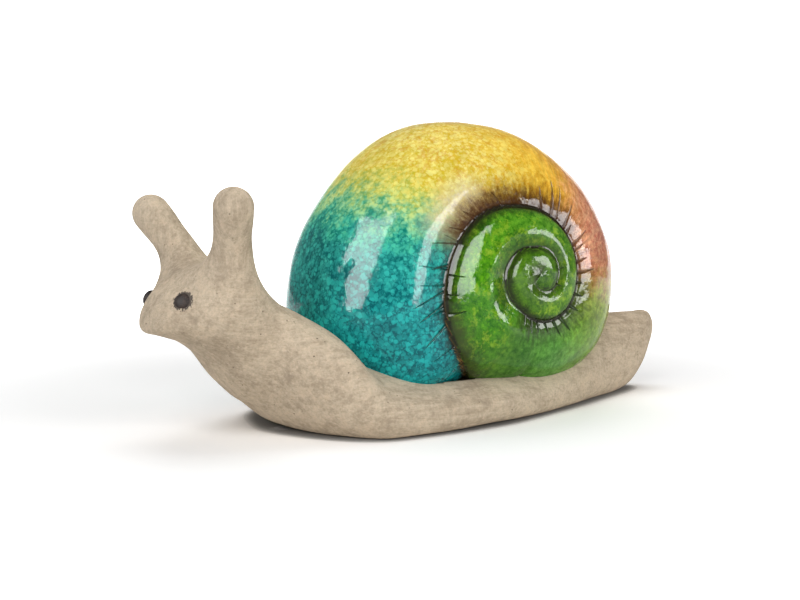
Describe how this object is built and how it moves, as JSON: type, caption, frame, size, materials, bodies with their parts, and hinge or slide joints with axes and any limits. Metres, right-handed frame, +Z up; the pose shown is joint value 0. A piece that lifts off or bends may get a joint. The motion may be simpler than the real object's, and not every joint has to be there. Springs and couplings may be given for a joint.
{
  "type": "snail figurine",
  "caption": "Ceramic snail garden figurine: bare clay body and tentacles with a glazed coiled shell seated in its back.",
  "frame": {"origin": "middle of the bounding box on the plane of the flat sole", "axes": "-X towards the head, +Z up; -Y is the snail's left side"},
  "size_m": [0.244, 0.0924, 0.1148],
  "materials": {
    "bisque_clay": "matte",
    "crackle_glaze": "gloss",
    "eye_stain": "satin"
  },
  "bodies": {
    "root": {"body": "bisque_clay", "shell": "crackle_glaze", "left_tentacle": "bisque_clay", "right_tentacle": "bisque_clay", "left_eye": "eye_stain", "right_eye": "eye_stain"}
  },
  "joints": []
}
